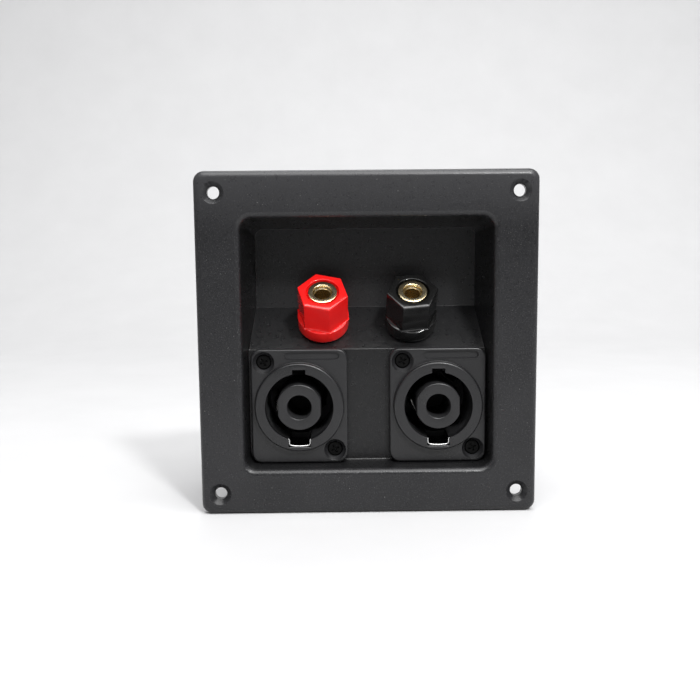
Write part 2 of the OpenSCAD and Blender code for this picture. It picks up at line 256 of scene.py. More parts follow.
# %% [markdown]
# ### Rounded edges
# No moulded or turned edge is truly sharp. A bevel modifier could round them, but here the
# profile itself carries the rounding, so each edge gets exactly the radius we want. The first
# helper rounds one outer edge, and the second rounds every corner of a turned profile.

# %% Rounded profiles
def round_over(radius, top, steps=4):
    """(inset, height) pairs that round an outer edge, from the side up to the top face."""
    turns = [math.pi / 2 * k / steps for k in range(steps + 1)]
    return [(radius * (1 - math.cos(t)), top - radius * (1 - math.sin(t))) for t in turns]


def eased(corners, steps=3):
    """Rounds the corners of a closed profile; each corner is (radius, height, rounding)."""
    profile = []
    for i, (r, z, ease) in enumerate(corners):
        here = Vector((r, z))
        before = Vector(corners[i - 1][:2])
        after = Vector(corners[(i + 1) % len(corners)][:2])
        reach = min(ease, (before - here).length * 0.49, (after - here).length * 0.49)
        if reach < 1e-4:
            profile.append((r, z))
            continue
        start = here + (before - here).normalized() * reach
        end = here + (after - here).normalized() * reach
        for k in range(steps + 1):
            t = k / steps
            point = start * (1 - t) ** 2 + here * 2 * t * (1 - t) + end * t**2
            profile.append((point.x, point.y))
    return profile


def turned(name, corners, around=96):
    """A ring-shaped turned piece from a closed profile."""
    angles = bearings(around)
    rings = [ring_at(disc(r), 0, z, angles) for r, z in eased(corners)]
    return skin(name, rings, "joined")


print("a rounded edge as (inset, height):", [(round(i, 2), round(z, 2)) for i, z in round_over(1, 0, 2)])


# %% [markdown]
# ## Cutting, softening and placing
# A boolean cut is right for a hole that crosses a flat face, such as a countersink, because the
# rings needn't know about it. After the last cut each piece gets smooth shading with sharp
# edges kept where faces meet at a real angle, and weighted normals so that flat faces stay flat.

# %% Cut, soften, place
def applied(piece):
    """Bakes a piece's modifiers into its mesh."""
    graph = bpy.context.evaluated_depsgraph_get()
    mesh = bpy.data.meshes.new_from_object(piece.evaluated_get(graph))
    piece.modifiers.clear()
    piece.data = mesh
    return piece


def cut(piece, tools, operation="DIFFERENCE"):
    """Cuts each tool out of the piece, or joins it on, and removes the tool."""
    for tool in tools:
        step = piece.modifiers.new("cut", "BOOLEAN")
        step.operation = operation
        step.object = tool
        step.solver = "EXACT"
        applied(piece)
        bpy.data.objects.remove(tool)
    return piece


def drill(radius, low, high, x=0, y=0, sink=0, turn=None, around=48):
    """A drill in local mm along Z, flaring to radius + sink at its top."""
    angles = bearings(around)
    rings = [ring_at(disc(radius), 0, low, angles)]
    if sink:
        rings.append(ring_at(disc(radius), 0, high - sink, angles))
    rings.append(ring_at(disc(radius + sink), 0, high, angles))
    if sink:
        rings.append(ring_at(disc(radius + sink), 0, high + 1, angles))
    tool = skin("drill", rings)
    if turn is not None:
        tool.data.transform(turn)
    tool.data.transform(Matrix.Translation((x, y, 0)))
    return tool


def shade(piece, sharp=35):
    """Smooth shading, with edges sharper than the angle kept crisp."""
    work = bmesh.new()
    work.from_mesh(piece.data)
    for face in work.faces:
        face.smooth = True
    for edge in work.edges:
        angle = edge.calc_face_angle(None)
        edge.smooth = angle is not None and angle < math.radians(sharp)
    work.to_mesh(piece.data)
    work.free()
    weigh = piece.modifiers.new("weigh", "WEIGHTED_NORMAL")
    weigh.keep_sharp = True
    weigh.weight = 60
    return applied(piece)


def fit(piece, place, body, nodes, material, sharp=35):
    """Puts a local piece in its place, on its body, instead of the plain CAD nodes."""
    piece.data.transform(place)
    shade(piece, sharp)
    piece.data.materials.clear()
    piece.data.materials.append(material)
    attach(piece, body)
    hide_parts(*nodes)
    print(piece.name, "faces:", len(piece.data.polygons))
    return piece


# %% [markdown]
# ## Finishes
# Every finish here is a tree of shader nodes, and the trees share a few building blocks: noise of
# a known size in millimetres, a ramp that picks out a part of it, a blend of two colours and a
# bump. Object space is used for all of them, so that the grain keeps its real size and moves with
# the piece. Small helpers for the blocks keep each finish short enough to read.

# %% Node helpers
def new_finish(name):
    material = bpy.data.materials.new(name)
    material.use_nodes = True
    tree = material.node_tree
    shader = tree.nodes["Principled BSDF"]
    place = tree.nodes.new("ShaderNodeTexCoord").outputs["Object"]
    return material, tree, shader, place


def wire(tree, source, target):
    tree.links.new(source, target)


def noise(tree, place, per_mm, detail=4, roughness=0.6, stretch=None):
    """Noise with a given number of cells per millimetre, stretched along an axis if asked."""
    if stretch:
        mapping = tree.nodes.new("ShaderNodeMapping")
        mapping.inputs["Scale"].default_value = stretch
        wire(tree, place, mapping.inputs["Vector"])
        place = mapping.outputs["Vector"]
    node = tree.nodes.new("ShaderNodeTexNoise")
    node.inputs["Scale"].default_value = per_mm / MM
    node.inputs["Detail"].default_value = detail
    node.inputs["Roughness"].default_value = roughness
    wire(tree, place, node.inputs["Vector"])
    return node.outputs["Fac"]


def ramp(tree, value, low, high, to_low=0.0, to_high=1.0):
    """Maps a value from one range to another, and holds it there outside."""
    node = tree.nodes.new("ShaderNodeMapRange")
    node.inputs["From Min"].default_value = low
    node.inputs["From Max"].default_value = high
    node.inputs["To Min"].default_value = to_low
    node.inputs["To Max"].default_value = to_high
    wire(tree, value, node.inputs["Value"])
    return node.outputs["Result"]


def combine(tree, operation, first, second):
    node = tree.nodes.new("ShaderNodeMath")
    node.operation = operation
    for socket, value in zip(node.inputs, (first, second)):
        if isinstance(value, (int, float)):
            socket.default_value = value
        else:
            wire(tree, value, socket)
    return node.outputs["Value"]


def blend_colours(tree, mask, dark, light):
    node = tree.nodes.new("ShaderNodeMix")
    node.data_type = "RGBA"
    wire(tree, mask, node.inputs["Factor"])
    for socket, value in ((node.inputs[6], dark), (node.inputs[7], light)):
        if isinstance(value, tuple):
            socket.default_value = (*value, 1)
        else:
            wire(tree, value, socket)
    return node.outputs[2]


def bump(tree, shader, heights):
    """Adds bumps to the shader; heights are (value, distance in mm, strength)."""
    normal = None
    for value, distance, strength in heights:
        node = tree.nodes.new("ShaderNodeBump")
        node.inputs["Distance"].default_value = distance * MM
        node.inputs["Strength"].default_value = strength
        wire(tree, value, node.inputs["Height"])
        if normal:
            wire(tree, normal, node.inputs["Normal"])
        normal = node.outputs["Normal"]
    wire(tree, normal, shader.inputs["Normal"])


# %% [markdown]
# ### Nylon and polished plastic
# Black plastic is never one flat black. The sockets are satin nylon and the caps are polished,
# yet both follow one recipe: fine grain for the bump, and a slow drift in colour and gloss. Deep
# inside a socket's bore, behind a given depth, the colour turns to one tone and the gloss dulls:
# this is painted shade.
# A clear coat over the caps' colour gives them the hard, wet gleam of a polished mould.

# %% Grained and polished plastics
def deeper_than(tree, place, start, end):
    """0 in front of a depth given in mm, rising to 1 behind the second depth."""
    split = tree.nodes.new("ShaderNodeSeparateXYZ")
    wire(tree, place, split.inputs[0])
    return ramp(tree, split.outputs["Y"], start * MM, end * MM)


def moulded(name, dark, light, rough, grain_mm, grain_depth, coat=0.0, shade_depths=None):
    """Moulded plastic: fine grain, slow drift of colour and gloss, and painted shade at depth."""
    material, tree, shader, place = new_finish(name)
    grain = noise(tree, place, 1 / grain_mm, 3, 0.65)
    drift = noise(tree, place, 0.09, 3, 0.5)
    colour = blend_colours(tree, ramp(tree, drift, 0.35, 0.65), dark, light)
    gloss = combine(tree, "ADD", ramp(tree, drift, 0.3, 0.7, -0.04, 0.05), rough)
    if shade_depths:
        # Painted shade: behind the given depth the colour turns to one fixed tone and the gloss dulls.
        deep = deeper_than(tree, place, *shade_depths)
        colour = blend_colours(tree, deep, colour, (0.013, 0.013, 0.0145))
        gloss = combine(tree, "ADD", gloss, combine(tree, "MULTIPLY", deep, 0.35))
    wire(tree, colour, shader.inputs["Base Color"])
    gloss = combine(tree, "ADD", gloss, ramp(tree, grain, 0.3, 0.7, -0.05, 0.05))
    wire(tree, gloss, shader.inputs["Roughness"])
    shader.inputs["Coat Weight"].default_value = coat
    shader.inputs["Coat Roughness"].default_value = 0.06
    bump(tree, shader, [(grain, grain_depth, 0.9)])
    return material


# Both nylons get painted shade deep in the bore, behind the given depths.
SOCKET_NYLON = moulded(
    "socket_nylon", (0.008, 0.008, 0.0087), (0.011, 0.011, 0.0119), 0.33, 0.35, 0.03, shade_depths=(3.0, 4.2)
)
CORE_NYLON = moulded(
    "core_nylon", (0.009, 0.009, 0.0098), (0.012, 0.012, 0.0129), 0.33, 0.3, 0.02, shade_depths=(1.8, 3.0)
)
RED_GLOSS = moulded(
    "red_gloss", (0.82, 0.010, 0.010), (0.90, 0.016, 0.014), 0.17, 1.8, 0.015, coat=0.3
)
BLACK_GLOSS = moulded(
    "black_gloss", (0.006, 0.006, 0.006), (0.010, 0.010, 0.010), 0.15, 1.8, 0.015, coat=0.3
)
RED_NYLON = moulded("red_nylon", (0.36, 0.01, 0.01), (0.42, 0.015, 0.012), 0.4, 0.4, 0.02)
BLACK_NYLON = moulded("black_nylon", (0.014, 0.014, 0.014), (0.02, 0.02, 0.02), 0.4, 0.4, 0.02)
print("plastics:", len(bpy.data.materials))


# %% [markdown]
# ### The dish's plastic
# The dish has a story of its own. Its flange was spark-grained in the mould, and the grain's tiny
# glints are painted into the colour as pale specks. The recess is painted darker, as painted shade,
# and paler again at the back wall, as painted light. The flange's upper edge is painted lighter,
# as light from above, and a few faint scratches sit on its right side. Scratches are noise
# stretched along one direction and cut off near its peaks, which
# leaves thin broken lines; a soft ball of distance keeps them in place.

# %% Dish plastic
def near(tree, place, centre, reach):
    """A soft mask that is 1 near a point of the plate, given in mm, and 0 beyond the reach."""
    node = tree.nodes.new("ShaderNodeVectorMath")
    node.operation = "DISTANCE"
    node.inputs[1].default_value = Vector(centre) * MM
    wire(tree, place, node.inputs[0])
    return ramp(tree, node.outputs["Value"], reach * MM, reach * 0.5 * MM)


def dish_plastic():
    material, tree, shader, place = new_finish("dish_plastic")
    spark = noise(tree, place, 3.0, 2, 0.6)
    leather = noise(tree, place, 0.9, 3, 0.6)
    drift = noise(tree, place, 0.05, 3, 0.5)
    split = tree.nodes.new("ShaderNodeSeparateXYZ")
    wire(tree, place, split.inputs[0])
    on_flange = ramp(tree, split.outputs["Y"], -0.9 * MM, -2.4 * MM)
    patches = ramp(tree, drift, 0.35, 0.65)
    # Painted shade: the recess gets a darker colour than the flange.
    smooth = blend_colours(tree, patches, (0.0050, 0.0050, 0.0054), (0.0070, 0.0070, 0.0075))
    # Painted light: the back wall is paler, rising from the depth of the panel back.
    behind = ramp(tree, split.outputs["Y"], 6.5 * MM, 13 * MM)
    smooth = blend_colours(tree, behind, smooth, (0.0125, 0.0125, 0.0132))
    grained = blend_colours(tree, patches, (0.0115, 0.0115, 0.0126), (0.0150, 0.0150, 0.0163))
    colour = blend_colours(tree, on_flange, smooth, grained)
    # Painted light: the flange's upper edge is lighter, for the light from above.
    painted_top_glow = combine(tree, "MULTIPLY", on_flange, ramp(tree, split.outputs["Z"], 30 * MM, 45 * MM))
    colour = blend_colours(tree, painted_top_glow, colour, (0.034, 0.034, 0.036))
    # Painted highlight: glints of the spark grain as pale specks in the colour, weaker in the recess.
    glint = combine(tree, "MULTIPLY", ramp(tree, spark, 0.56, 0.70), ramp(tree, on_flange, 0, 1, 0.25, 1))
    colour = blend_colours(tree, glint, colour, (0.045, 0.045, 0.047))
    lines = noise(tree, place, 0.9, 2, 0.5, stretch=(9, 1, 0.5))
    marks = combine(tree, "MULTIPLY", ramp(tree, lines, 0.67, 0.72), near(tree, place, (39, -3, 18), 9))
    colour = blend_colours(tree, marks, colour, (0.035, 0.035, 0.035))
    speck = ramp(tree, noise(tree, place, 3.2, 0, 0.4), 0.86, 0.90)
    colour = blend_colours(tree, speck, colour, (0.16, 0.16, 0.155))
    wire(tree, colour, shader.inputs["Base Color"])
    gloss = combine(tree, "ADD", ramp(tree, leather, 0.3, 0.7, -0.05, 0.05), 0.31)
    wire(tree, gloss, shader.inputs["Roughness"])
    shader.inputs["Specular IOR Level"].default_value = 0.36
    bump(tree, shader, [(leather, 0.05, 0.5), (spark, 0.045, 0.9)])
    return material


DISH_PLASTIC = dish_plastic()
print("dish finish nodes:", len(DISH_PLASTIC.node_tree.nodes))

# %% [markdown]
# ## Metals
# Turned and rolled metal keeps fine marks from the tool, so its roughness and bump come from noise
# stretched along one direction. Dull patches stop the metal from looking like chrome paint, and the
# strips deep inside the sockets get a dark colour: painted shade for the inside of the bore.

# %% Brass, plate and steel
BARREL_BACK = 23.8


def metal(name, clean, dull, rough, shade_depths=None):
    """Metal with tool marks and dull patches, and painted shade inside the sockets' barrels."""
    material, tree, shader, place = new_finish(name)
    shader.inputs["Metallic"].default_value = 1
    tarnish = noise(tree, place, 0.8, 4, 0.6)
    colour = blend_colours(tree, ramp(tree, tarnish, 0.35, 0.75), clean, dull)
    if shade_depths:
        # Painted shade: deep in the bore, in front of the barrel's back, the metal turns dark.
        inside = deeper_than(tree, place, *shade_depths)
        inside = combine(tree, "MULTIPLY", inside, deeper_than(tree, place, BARREL_BACK, BARREL_BACK - 0.8))
        colour = blend_colours(tree, inside, colour, (0.03, 0.03, 0.028))
    wire(tree, colour, shader.inputs["Base Color"])
    lines = noise(tree, place, 3.0, 3, 0.7, stretch=(1, 6, 6))
    gloss = combine(tree, "ADD", ramp(tree, lines, 0.3, 0.7, -0.05, 0.08), rough)
    wire(tree, gloss, shader.inputs["Roughness"])
    bump(tree, shader, [(lines, 0.01, 0.7)])
    return material


BRASS = metal("turned_brass", (0.98, 0.86, 0.60), (0.88, 0.68, 0.36), 0.17)
# The contacts and latch plates get painted shade deep in the sockets.
SILVER = metal("silver_plate", (0.90, 0.89, 0.86), (0.72, 0.70, 0.66), 0.22, shade_depths=(5.0, 7.0))
NICKEL = metal("nickel_strip", (0.88, 0.88, 0.87), (0.76, 0.76, 0.75), 0.22, shade_depths=(2.4, 3.4))
TIN = metal("tinned_brass", (0.80, 0.79, 0.74), (0.60, 0.58, 0.50), 0.34)
STEEL = metal("nut_steel", (0.66, 0.66, 0.65), (0.50, 0.50, 0.48), 0.30)
SCREW_BLACK = moulded("black_zinc", (0.001, 0.001, 0.001), (0.002, 0.002, 0.002), 0.50, 0.3, 0.01)
SCREW_BLACK.node_tree.nodes["Principled BSDF"].inputs["Specular IOR Level"].default_value = 0.12
print("finishes in all:", len(bpy.data.materials))

# %% [markdown]
# ## The dish
# The dish is one moulding. Its walls lean outwards by a few degrees so that it leaves the mould,
# and every edge is rounded. A row of bevelled edges would be one way to make it. Here we use
# another: the whole moulding is a stack of rounded rectangles, from the outside of the back wall
# forward, round the flange, over the lip and back into the recess. The rectangle's lower side
# climbs where the shelf climbs. Each rounding is then just a few rings that follow an arc.

# %% Sizes of the dish
FACE_Y = -3.0
PANEL_Y = 5.9
BACK_Y = 17.3
WALL = 2.2
OPENING_HALF_W = 33.0
OPENING_HALF_H = 33.35
OPENING_CORNER = 2.3
SHELF_FRONT = -2.1
SLOPE = math.radians(43)
SIDE_TAPER = math.tan(math.radians(6.2))
CEILING_TAPER = math.tan(math.radians(8.2))
FLOOR_TAPER = math.tan(math.radians(4))
plate_low, plate_high = (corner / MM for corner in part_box("recess_plate"))
HALF_W = (plate_high.x - plate_low.x) / 2
HALF_H = (plate_high.z - plate_low.z) / 2
print("flange in mm:", round(2 * HALF_W, 1), "x", round(2 * HALF_H, 1))


# %% [markdown]
# ### Rounded rectangles
# Every ring of the dish is four corner arcs, listed in the same order, so that neighbouring rings
# can be joined point by point. A ring also has one extra point on each side. Close to the level
# of the shelf's front edge, it lets the flat panel below the shelf close cleanly when the next
# ring starts higher up. The shelf's outline, seen from the side, is a short path of arcs.

# %% Rounded rectangles, stacked along the depth
def frame_ring(y, half, low, high, r_low, r_high, split):
    """One rounded rectangle at depth y. The split adds a point on both sides at that height."""
    points = []
    corners = [
        (-half + r_low, low + r_low, r_low, 180), (half - r_low, low + r_low, r_low, 270),
        (half - r_high, high - r_high, r_high, 0), (-half + r_high, high - r_high, r_high, 90),
    ]
    for i, (cx, cz, r, start) in enumerate(corners):
        for k in range(9):
            t = math.radians(start + 90 * k / 8)
            points.append((cx + r * math.cos(t), y, cz + r * math.sin(t)))
        if i == 1:
            points.append((half, y, split))
        if i == 3:
            points.append((-half, y, split))
    return points


def quarter(radius, steps=5):
    """(sideways, forward) steps of a quarter circle that starts along the depth."""
    turns = [math.pi / 2 * k / steps for k in range(steps + 1)]
    return [(radius * (1 - math.cos(t)), radius * (1 - math.sin(t))) for t in turns]


def shelf_path(panel, front, back, edge, fold):
    """(y, z) points up the shelf: round its front edge, up the slope and into the back wall."""
    turn = math.pi / 2 - SLOPE
    reach = math.tan(turn / 2)
    points = []
    for k in range(5):
        t = turn * k / 4
        points.append((panel + edge * (1 - math.cos(t)), front - edge * reach + edge * math.sin(t)))
    top = front + (back - panel) * math.tan(SLOPE)
    fold_y = back - fold * reach * math.cos(SLOPE) - fold * math.sin(SLOPE)
    fold_z = top - fold * reach * math.sin(SLOPE) + fold * math.cos(SLOPE)
    for k in range(5):
        t = SLOPE + turn * k / 4
        points.append((fold_y + fold * math.sin(t), fold_z - fold * math.cos(t)))
    return points


def recess_rings(grow, corner, mouth, start, panel, back, shelf_front, edge, fold):
    """Rings of the recess, or of its outside when grow is the wall's thickness.

    corner and mouth are the corner radii at the panel and at the opening, start holds the
    (inset, y) steps of the opening's edge, and edge and fold are the shelf's roundings.
    """

    def size(y):
        lead = y - FACE_Y
        half = OPENING_HALF_W + grow - lead * SIDE_TAPER
        low = -OPENING_HALF_H - grow + lead * FLOOR_TAPER
        high = OPENING_HALF_H + grow - lead * CEILING_TAPER
        return half, low, high

    crease = fold / 4
    shelf = shelf_path(panel, shelf_front, back, edge, crease)
    small = 0.35
    split = shelf[0][1] + small
    rings = []
    for inset, y in start:
        half, low, high = size(y)
        r = mouth + inset
        rings.append(frame_ring(y, half + inset, low - inset, high + inset, r, r, split))
    for rise, ahead in quarter(fold):
        half, low, high = size(panel - ahead)
        rings.append(frame_ring(panel - ahead, half, low + rise, high, corner, corner, split))
    slope_end = shelf[5][0]
    heights = shelf[:5] + [(slope_end - fold, None)] + shelf[5:]
    for y, z in heights:
        half, low, high = size(y)
        if z is None:
            z = shelf[5][1] - fold * math.tan(SLOPE)
        deep = max(0, y - (back - crease)) / crease
        inset = crease * (1 - math.sqrt(max(0, 1 - deep**2)))
        rings.append(frame_ring(y, half - inset, z, high - inset, small, corner, z + small))
    return rings


# %% [markdown]
# ### The dish's skin
# Now the rings are listed in one run: the outside from the back to the flange, then the flange
# with its rounded rim, then the lip and the inside to the back wall. The outside is the inside
# grown by the wall's thickness, so one function gives both, and the wall stays even.

# %% Dish from outside to inside
RIM_ROUND = 1.8
BACK_EASE = 0.3
FLANGE_CORNER = 2.6
FLANGE_SPLIT = -2
LIP_ROUND = 1.45
outside_drop = WALL * math.tan(SLOPE) - WALL / math.cos(SLOPE)
outside = recess_rings(
    WALL, 1.6, 1.6, [(0, 0.0)], PANEL_Y + WALL, BACK_Y + WALL, SHELF_FRONT + outside_drop, 0.8, 0.9
)


def flange_ring(y, inset, corner):
    low, high = -HALF_H + inset, HALF_H - inset
    return frame_ring(y, HALF_W - inset, low, high, corner, corner, FLANGE_SPLIT)


flange = [flange_ring(0, BACK_EASE, FLANGE_CORNER - BACK_EASE)]
flange.append(flange_ring(-BACK_EASE, 0, FLANGE_CORNER))
for inset, ahead in quarter(RIM_ROUND, 7):
    flange.append(flange_ring(FACE_Y + ahead, inset, FLANGE_CORNER + 0.2 - inset * 0.6))
lip = [(ahead, FACE_Y + inset) for inset, ahead in quarter(LIP_ROUND, 7)]
mouth_corner = OPENING_CORNER + 0.9
inside = recess_rings(
    0, OPENING_CORNER, mouth_corner, lip, PANEL_Y, BACK_Y, SHELF_FRONT, 0.45, 0.5
)
dish = skin("recess_dish", outside[::-1] + flange + inside)
print("dish rings:", len(outside) + len(flange) + len(inside), "faces:", len(dish.data.polygons))

# %% [markdown]
# ### Drilling the dish
# Four countersunk holes take the cabinet screws. Behind the sockets the panel has round cut-outs
# and small bosses for the socket screws, and the shelf has holes for the posts. These are cut
# after the rounding, because a drilled hole in the real moulding has a crisp edge too.

# %% Holes and bosses
HOLE_R = 1.6
SINK = 1.3
HOLE_X = 39.5
HOLE_Z = 39.65
SCREW_AT = ((-9.5, 12.0), (9.5, -12.0))
BOSS_LENGTH = 4.5
panel_back = -PANEL_Y - WALL
to_front = Matrix.Rotation(math.pi / 2, 4, "X")
bosses = []
drills = []
for x in (-HOLE_X, HOLE_X):
    for z in (-HOLE_Z, HOLE_Z):
        drills.append(drill(HOLE_R, -1, -FACE_Y, x, z, SINK, around=64))
for side, place in SIDES.items():
    cx, cz = place.translation.x / MM, place.translation.z / MM
    drills.append(drill(12.0, panel_back - 2, -PANEL_Y + 2, cx, cz, around=96))
    for across, up in SCREW_AT:
        x, z = cx + across, cz + up
        bosses.append(drill(3.0, panel_back - BOSS_LENGTH, -PANEL_Y - 1, x, z))
        drills.append(drill(1.15, panel_back - BOSS_LENGTH + 1, -PANEL_Y + 1, x, z, around=24))
for tool in bosses + drills:
    tool.data.transform(to_front)
for place in POSTS.values():
    hole = drill(4.05, -WALL - 2, 2)
    hole.data.transform(Matrix.Scale(1 / MM, 4) @ place)
    drills.append(hole)
cut(dish, bosses, "UNION")
cut(dish, drills)
fit(dish, Matrix.Scale(MM, 4), "plate", ["recess_plate"], DISH_PLASTIC, sharp=32)

# %% [markdown]
# ## The speaker sockets
# Each socket is a nylon moulding: a flange, a raised ring round the plug bore and a barrel behind
# the panel. The bore has a narrow keyway above and a wide one below. Everything shares one axis,
# so the shell is one stack of rings, from the floor of the bore up over the lip and down the
# outside to the back. The screw sinks and the label slot are cut afterwards.

# %% Socket shells
NARROW_KEY = (math.pi / 2, 1.75, 10.15)
WIDE_KEY = (-math.pi / 2, 2.95, 10.8)
BORE_R = 9.1
BORE_FLOOR = -13.5
LATCH_FLOOR = -6.0
FLANGE_TOP = 3.0
SEAT = 0.6


def screw_sink(x, y):
    """A cone below the socket's face, a straight well down to the seat, and the screw's hole."""
    angles = bearings(64)
    profile = [(1.25, -1), (1.25, SEAT), (2.12, SEAT), (2.12, 1.8), (2.2, 1.95)]
    profile += [(2.82, 2.85), (2.95, FLANGE_TOP), (3.05, FLANGE_TOP + 1)]
    sink = skin("sink", [ring_at(disc(r), 0, z, angles) for r, z in profile])
    sink.data.transform(Matrix.Translation((x, y, 0)))
    return sink


def socket_shell(side):
    deep = keyed(BORE_R, [NARROW_KEY])
    full = keyed(BORE_R, [NARROW_KEY, WIDE_KEY])
    ring_out = disc(12.0)
    flange = rounded_square(26, 31, 2.7)
    barrel = disc(11.8)
    angles = bearings(200, key_bearings(BORE_R, [NARROW_KEY, WIDE_KEY]))
    levels = [(deep, 0, BORE_FLOOR), (deep, 0, LATCH_FLOOR), (full, 0, LATCH_FLOOR)]
    levels += [(full, -i, z) for i, z in round_over(0.22, RING_TOP, 3)]
    levels += [(ring_out, i, z) for i, z in reversed(round_over(0.55, RING_TOP, 5))]
    levels += [(ring_out, 0, FLANGE_TOP + 0.12), (ring_out, -0.12, FLANGE_TOP)]
    levels += [(flange, i, z) for i, z in reversed(round_over(0.45, FLANGE_TOP, 4))]
    levels += [(flange, 0, 0.1), (flange, 0.1, 0)]
    levels += [(barrel, 0, 0), (barrel, 0, -17.5), (barrel, 0.5, -18)]
    shell = skin(side + "_shell", [ring_at(o, i, z, angles) for o, i, z in levels])
    sinks = [screw_sink(x, y) for x, y in SCREW_AT]
    slot_angles = bearings(96)
    slot_outline = rounded_square(14.9, 2.1, 1.04)
    slot = skin("slot", [ring_at(slot_outline, 0, z, slot_angles) for z in (2.4, 4)])
    slot.data.transform(Matrix.Translation((3.45, 13.7, 0)))
    return cut(shell, sinks + [slot])


for side, place in SIDES.items():
    shell = socket_shell(side)
    fit(shell, place, "plate", [side + "_socket_shell"], SOCKET_NYLON, sharp=30)

# %% [markdown]
# ### Socket cores
# The core stands in the middle of the bore. Its left and right sides are flattened where two of
# the contacts lie, and its face has a soft edge and a deep round hole. A circle with two flats
# is again one outline: the smaller of the circle and the distance to the flat.


# %% Cores
CORE_R = 6.2
CORE_FLAT = 5.8
CORE_TOP = 4.6


def flattened_core(angle, inset=0):
    return min(CORE_R, CORE_FLAT / max(abs(math.cos(angle)), 0.01)) - inset


for side, place in SIDES.items():
    meet = math.acos(CORE_FLAT / CORE_R)
    angles = bearings(144, [meet, -meet, math.pi - meet, math.pi + meet])
    hole = disc(3.25)
    levels = [(hole, 0, -11.5)] + [(hole, -i, z) for i, z in round_over(0.3, CORE_TOP, 4)]
    levels += [(flattened_core, i, z) for i, z in reversed(round_over(0.35, CORE_TOP, 4))]
    levels += [(flattened_core, 0, BORE_FLOOR)]
    core = skin(side + "_core", [ring_at(o, i, z, angles) for o, i, z in levels])
    fit(core, place, "plate", [side + "_socket_core"], CORE_NYLON, sharp=30)

# %% [markdown]
# ### Strip metal
# The latch plate and the contacts are stamped from thin strip and bent. A strip is a path in a
# plane, with a width across it, so we sweep a small section with eased edges along the path.
# Bent corners come from the path itself: an arc where the press rounds the metal.


# %% Strip helper
def strip(name, path, widths, thickness, ease=0.05):
    """Sweeps strip metal along a path of (u, v) points; width runs along w."""
    rings = []
    for i, (u, v) in enumerate(path):
        before = Vector(path[max(i - 1, 0)])
        after = Vector(path[min(i + 1, len(path) - 1)])
        along = (after - before).normalized()
        across = Vector((-along.y, along.x))
        half = widths[i] / 2
        t = thickness / 2
        section = [
            (-t, -half + ease), (-t, half - ease), (-t + ease, half), (t - ease, half),
            (t, half - ease), (t, -half + ease), (t - ease, -half), (-t + ease, -half),
        ]
        rings.append([(u + across.x * s, v + across.y * s, w) for s, w in section])
    return skin(name, rings)


def arc(cx, cy, radius, start, end, steps=6):
    turns = [math.radians(start + (end - start) * k / steps) for k in range(steps + 1)]
    return [(cx + radius * math.cos(t), cy + radius * math.sin(t)) for t in turns]


# %% [markdown]
# ### Latch plates
# A latch plate lines the wide keyway and holds the plug's key. From the front only its edge
# shows: a bright U with a slightly bowed foot and two short flares. It is one strip, swept along
# half a path and its mirror image.

# %% Latch plates
LATCH_MID = 2.8
LATCH_BOTTOM = -10.65
half_path = [(-3.3, -8.62), (-3.08, -8.72)] + arc(-LATCH_MID - 0.25, -9.0, 0.25, 70, 0, 4)
half_path += arc(-LATCH_MID + 0.8, LATCH_BOTTOM + 0.95, 0.8, 180, 262)
half_path += [(-1.2, LATCH_BOTTOM + 0.06)]
latch_path = half_path + [(0, LATCH_BOTTOM)] + [(-x, y) for x, y in reversed(half_path)]
for side, place in SIDES.items():
    latch = strip(side + "_latch", latch_path, [10.1] * len(latch_path), 0.23)
    latch.data.transform(Matrix.Translation((0, 0, -0.85)))
    fit(latch, place, "plate", [side + "_latch_plate"], NICKEL)

# %% [markdown]
# ### Contacts
# Each contact is a flat tab behind the socket that turns into a bowed spring in front. Two bear
# on the core and two lie along the wall of the bore. On the right socket the spring at nine
# o'clock has been twisted out by a plug, so one corner of its tip stands off the core.

# %% Contacts
TAB_R = 6.85
TAB_W = 4.8
SPRING_W = 2.6
CONTACTS = {"a": (180, 1, 1.5), "b": (0, 1, -3), "c": (230, -1, -3), "d": (50, -1, -3)}


def contact_path(inner, tip):
    """(outwards, along) points of a contact, from the tab's end to the spring's tip."""
    foot = 6.05 if inner > 0 else 8.75
    bow = 1.0 if inner > 0 else -0.9
    path = [(TAB_R, z) for z in (-27, -20, -15, -13)]
    path += [(foot + (TAB_R - foot) * f, -13 + 1.8 * (1 - f)) for f in (0.6, 0.2)]
    for k in range(11):
        t = k / 10
        path.append((foot + bow * math.sin(math.pi * t), -10.5 + (tip + 10.5) * t))
    return path


BEND_START = -4


def twist_tip(contact):
    """Turns the last third of a spring outwards, about one corner of its tip."""
    for vertex in contact.data.vertices:
        x, y, z = vertex.co
        if z > BEND_START:
            t = ((z - BEND_START) / 5.5) ** 2
            away = SPRING_W / 2 - y
            vertex.co.x = x + t * (0.28 * away + 0.06 * away**2)


for side, place in SIDES.items():
    for letter, (turn, inner, tip) in CONTACTS.items():
        path = contact_path(inner, tip)
        widths = [TAB_W] * 3 + [4.4, 3.4] + [SPRING_W] * 12
        contact = strip(f"{side}_contact_{letter}_spring", path, widths, 0.26, 0.06)
        contact.data.transform(Matrix.Rotation(math.pi / 2, 4, "X"))
        if (side, letter) == ("right", "a"):
            twist_tip(contact)
        wire_hole = drill(0.7, -9, 9, turn=Matrix.Rotation(math.pi / 2, 4, "Y"), around=24)
        wire_hole.data.transform(Matrix.Translation((TAB_R, 0, -24)))
        cut(contact, [wire_hole])
        contact.data.transform(Matrix.Rotation(math.radians(turn), 4, "Z"))
        fit(contact, place, "plate", [f"{side}_contact_{letter}"], SILVER)

# %% [markdown]
# ### Socket screws
# Small black screws sit deep in their sinks, so little more than the sink's lower wall catches
# the light. The cross recess is the same keyed outline as the bore, with four keys, pressed
# down into the head.

